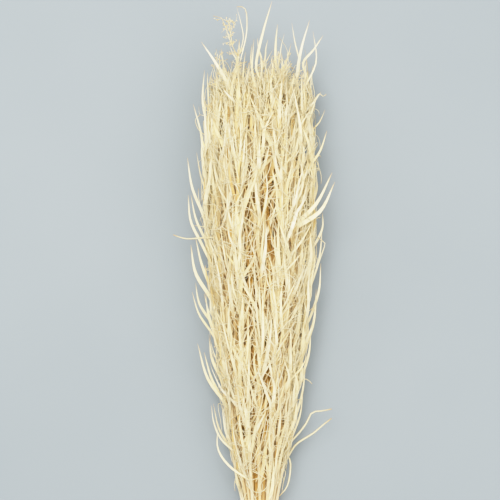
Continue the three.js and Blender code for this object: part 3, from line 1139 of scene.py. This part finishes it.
# %% Grow every plume
faces = 0
for stalk in stalks:
    rng = random.Random(stalk.index)
    bm = new_piece()
    add_rachis(bm, stalk, rng.uniform(0.4, 0.7))
    add_blades(bm, stalk, rng)
    add_outline_blades(bm, stalk, rng)
    faces += len(bm.faces)
    finish_piece(
        bm, f"blades_{stalk.number}", [bleached_leaf], [f"plume_{stalk.number}"]
    )
    bm = new_piece()
    add_threads(bm, stalk, rng)
    add_strays(bm, stalk, rng)
    add_tip_panicle(bm, stalk, rng)
    faces += len(bm.faces)
    finish_piece(bm, f"threads_{stalk.number}", [bleached_leaf])
print("plumes done:", len(stalks), "with", faces, "faces")

# %% [markdown]
# ## The panicle that stands up at the crown
#
# One panicle at the top left kept its branches and stands clear of the blades, bent over
# at its tip. It is grown like the small ones, but with a longer stem and more branches.

# %% The tall panicle
PANICLE_SEED, TWIGS, TWIG_REACH = 77, 64, (6, 17)

rng = random.Random(PANICLE_SEED)
bm = new_piece()
crown_stalk = nearest_stalk(-32, 880)
root = crown_stalk.at(rachis_tip(crown_stalk) - 10)
stand = [(-34, 905, 84), (-44, 930, 90), (-52, 955, 94), (-60, 970, 95), (-70, 970, 94)]
stem = through([root] + [Vector(point) for point in stand], THREAD_ROWS)
grow(bm, thread_template, stem, even(1.8), even(1.4), tint=0.7)
bend = [(-47, 962, 93), (-41, 963, 92), (-40, 955, 90)]
droop = through([stem[8]] + [Vector(point) for point in bend], THREAD_ROWS)
grow(bm, thread_template, droop, even(1.4), even(1.2), tint=0.7)
for _ in range(TWIGS):
    branch = rng.choice((stem, stem, droop))
    row = rng.randint(2, THREAD_ROWS - 1)
    way = (branch[row + 1] - branch[row]).normalized() * 0.5 + any_way(rng, 0.8)
    way.z *= 0.5
    reach = rng.uniform(*TWIG_REACH)
    twig = add_thread(bm, rng, branch[row], way, reach, 0.8, rng.uniform(0, 3), slack=0)
    for end in rng.sample((5, 8, THREAD_ROWS), 2):
        add_spikelet(bm, rng, twig[end], way + 0.8 * any_way(rng), rng.uniform(2.2, 3.8), 1.2)
finish_piece(bm, "crown_panicle", [bleached_leaf])
print("crown panicle done:", TWIGS, "twigs")

# %% [markdown]
# ## The tie
#
# Five turns of 3 mm twine are wound side by side round the neck, and its ends are tucked
# in between the culms. Twine that is pulled tight bends round the outermost culms and
# runs straight from one to the next. The middle of its loop is found the same way: for
# each direction, the culm that stands furthest out holds the twine off by its radius.
#
# Three plies run along that loop, and each winds round it once every 9 mm, as the plies
# of laid twine do. Each ply is one strand with many rows.

# %% The path of the twine
TWINE_DIAMETER, TWINE_TURNS = 3.0, 5
PLY_STEP = 0.9
LOOP_STEPS = 72
TUCK_LENGTH, TUCK_DEPTH, TUCK_AT = 12, 3.6, 31.0


def neck_loop():
    """The line of one tight turn of twine round the culms, as points across and up."""
    loop = []
    for i in range(LOOP_STEPS):
        angle = math.tau * i / LOOP_STEPS
        way = Vector((math.cos(angle), 0, math.sin(angle)))
        outermost = max(stalks, key=lambda stalk: stalk.at(NECK_AT).dot(way))
        centre = outermost.at(NECK_AT)
        loop.append(centre + way * (culm_radius(outermost, NECK_AT) + TWINE_DIAMETER / 2))
    return loop


def twine_route():
    """The middle of the twine, from tuck to tuck, in steps of PLY_STEP."""
    loop = neck_loop()
    sides = [(b - a).length for a, b in zip(loop, loop[1:] + loop[:1])]
    length = TWINE_TURNS * sum(sides)
    rows = round(length / PLY_STEP)
    route = []
    for row in range(rows + 1):
        reach = length * row / rows
        left, side = (reach + TUCK_AT) % sum(sides), 0
        while side < LOOP_STEPS - 1 and left > sides[side]:
            left -= sides[side]
            side += 1
        point = mix(loop[side], loop[(side + 1) % LOOP_STEPS], left / sides[side])
        inwards = Vector((-point.x, 0, TIE_OUTER_RADIUS - point.z)).normalized()
        tuck = TUCK_DEPTH * clamp(1 - min(reach, length - reach) / TUCK_LENGTH) ** 2
        point += inwards * tuck
        point.y = NECK_AT + TWINE_DIAMETER * (reach / length - 0.5) * TWINE_TURNS
        route.append(point)
    return route


print("the tie stands", round(TIE_OUTER_RADIUS, 1), "mm out in the packed model")

# %% The tie of three-ply twine
LAY_LENGTH, PLIES = 9.0, 3
PLY_DIAMETER, PLY_SIDES = 1.62, 6


def add_ply(bm, route, start):
    """One ply, which winds round the route at a distance of just under half its size."""
    rows = len(route) - 1
    turns = rows * PLY_STEP / LAY_LENGTH
    offset = (TWINE_DIAMETER - PLY_DIAMETER) / 2
    laid = []
    for row, point in enumerate(route):
        heading = (route[min(row + 1, rows)] - route[max(row - 1, 0)]).normalized()
        out = Vector((point.x, 0, point.z - TIE_OUTER_RADIUS)).normalized()
        side = heading.cross(out)
        angle = start + math.tau * turns * row / rows
        laid.append(point + (out * math.cos(angle) + side * math.sin(angle)) * offset)
    template = strand_template("ply_template", PLY_SIDES, rows)

    def size(share):
        return PLY_DIAMETER

    grow(bm, template, laid, size, size)
    bpy.data.meshes.remove(template)


bm = new_piece()
middle_route = twine_route()
for ply in range(PLIES):
    add_ply(bm, middle_route, math.tau * ply / PLIES)
twine_length = (len(middle_route) - 1) * PLY_STEP
print("tie:", round(twine_length), "mm of twine,", len(bm.faces), "faces")
finish_piece(bm, "twine_tie", [jute_twine], ["tie"])

for template in (blade_template, thread_template, spikelet_template, rachis_template, rolled_skin):
    bpy.data.meshes.remove(template)

# %% [markdown]
# ## Floor, light and camera
#
# The bunch lies on a plain pale floor. One big soft light hangs overhead, a little
# towards the crown and to the left, and a weak one fills the other side, so the blades
# are bright and the gaps between them stay warm. The camera looks straight down, with
# the cut ends and the tie below the edge of its view.
#
# Blender's Standard view shows light as it is, so pale straw is either dull or burnt out.
# A camera lifts the middle tones and eases off the brightest ones, and the tone curve
# does the same. It makes the picture a good deal lighter, and it is part of the picture
# alone: the materials and the meshes don't carry it.

# %% Floor
FLOOR_HALF, MOTTLE_SCALE = 20.0, 3.0


def floor_material():
    """Smooth matt card, a cool grey that the light and the tone curve make pale."""
    material, tree = new_material("matt_grey_card")
    place = add(tree, "ShaderNodeTexCoord", {}).outputs["Object"]
    mottle = add(tree, "ShaderNodeTexNoise", {"Vector": place, "Scale": MOTTLE_SCALE, "Detail": 2.0})
    colour = add(
        tree, "ShaderNodeValToRGB", {"Fac": mottle.outputs["Fac"]},
        stops=[(0.3, "#949EA6"), (0.7, "#97A1A9")],
    )
    shader = add(
        tree, "ShaderNodeBsdfPrincipled", {"Base Color": colour.outputs["Color"], "Roughness": 0.85}
    )
    add(tree, "ShaderNodeOutputMaterial", {"Surface": shader.outputs["BSDF"]})
    return material


bm = bmesh.new()
bmesh.ops.create_grid(bm, x_segments=1, y_segments=1, size=FLOOR_HALF)
floor_mesh = to_mesh(bm, "floor")
floor_mesh.materials.append(floor_material())
floor = bpy.data.objects.new("floor", floor_mesh)
bpy.context.scene.collection.objects.link(floor)
floor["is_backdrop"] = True
print("floor:", 2 * FLOOR_HALF, "m across")


# %% Lights and camera
AIM = (0, 0.1, 0)
SKY_STRENGTH = 0.58
TONE_POINTS = ((0.145, 0.25), (0.275, 0.47), (0.435, 0.68), (0.615, 0.83), (0.87, 0.92))
BRIGHTEST = (1.0, 0.95)


def add_light(name, place, aim, size, watts, colour):
    """A square soft light at place that shines at aim."""
    lamp = bpy.data.lights.new(name, "AREA")
    lamp.shape = "SQUARE"
    lamp.size = size
    lamp.energy = watts
    lamp.color = linear(colour)[:3]
    light = bpy.data.objects.new(name, lamp)
    light.location = place
    light.rotation_euler = (Vector(aim) - Vector(place)).to_track_quat("-Z", "Y").to_euler()
    bpy.context.scene.collection.objects.link(light)


add_light("key_softbox", (-0.6, 0.9, 2.4), AIM, 1.6, 36, "#FFFBF4")
add_light("fill_softbox", (1.5, -0.6, 1.8), AIM, 1.8, 12, "#FFF9F2")

scene = bpy.context.scene
scene.world = bpy.data.worlds.new("studio")
scene.world.use_nodes = True
backdrop = scene.world.node_tree.nodes["Background"]
backdrop.inputs["Color"].default_value = linear("#F3F2EC")
backdrop.inputs["Strength"].default_value = SKY_STRENGTH
scene.view_settings.view_transform = "Standard"
scene.view_settings.use_curve_mapping = True
tone = scene.view_settings.curve_mapping
combined = tone.curves[3]
for point in TONE_POINTS:
    combined.points.new(*point)
combined.points[-1].location = BRIGHTEST
tone.update()

VIEW_WIDTH = 750
VIEW_CENTRE = (-15, 620, 85)
LENS = 120
SENSOR = 36
camera_data = bpy.data.cameras.new("camera")
camera_data.lens = LENS
camera_data.sensor_width = SENSOR
camera = bpy.data.objects.new("camera", camera_data)
camera.location = spot(*VIEW_CENTRE) + FACE_UP * VIEW_WIDTH * MM * LENS / SENSOR
scene.collection.objects.link(camera)
scene.camera = camera
print("camera height in m:", round(camera.location.z, 3))

# %% Sizes of the packed model and of the visual one
visual_box = [list(corner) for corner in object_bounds()]
for name, box in (("packed", cad_box), ("visual", visual_box)):
    print(name, [[round(value / MM, 1) for value in corner] for corner in box])
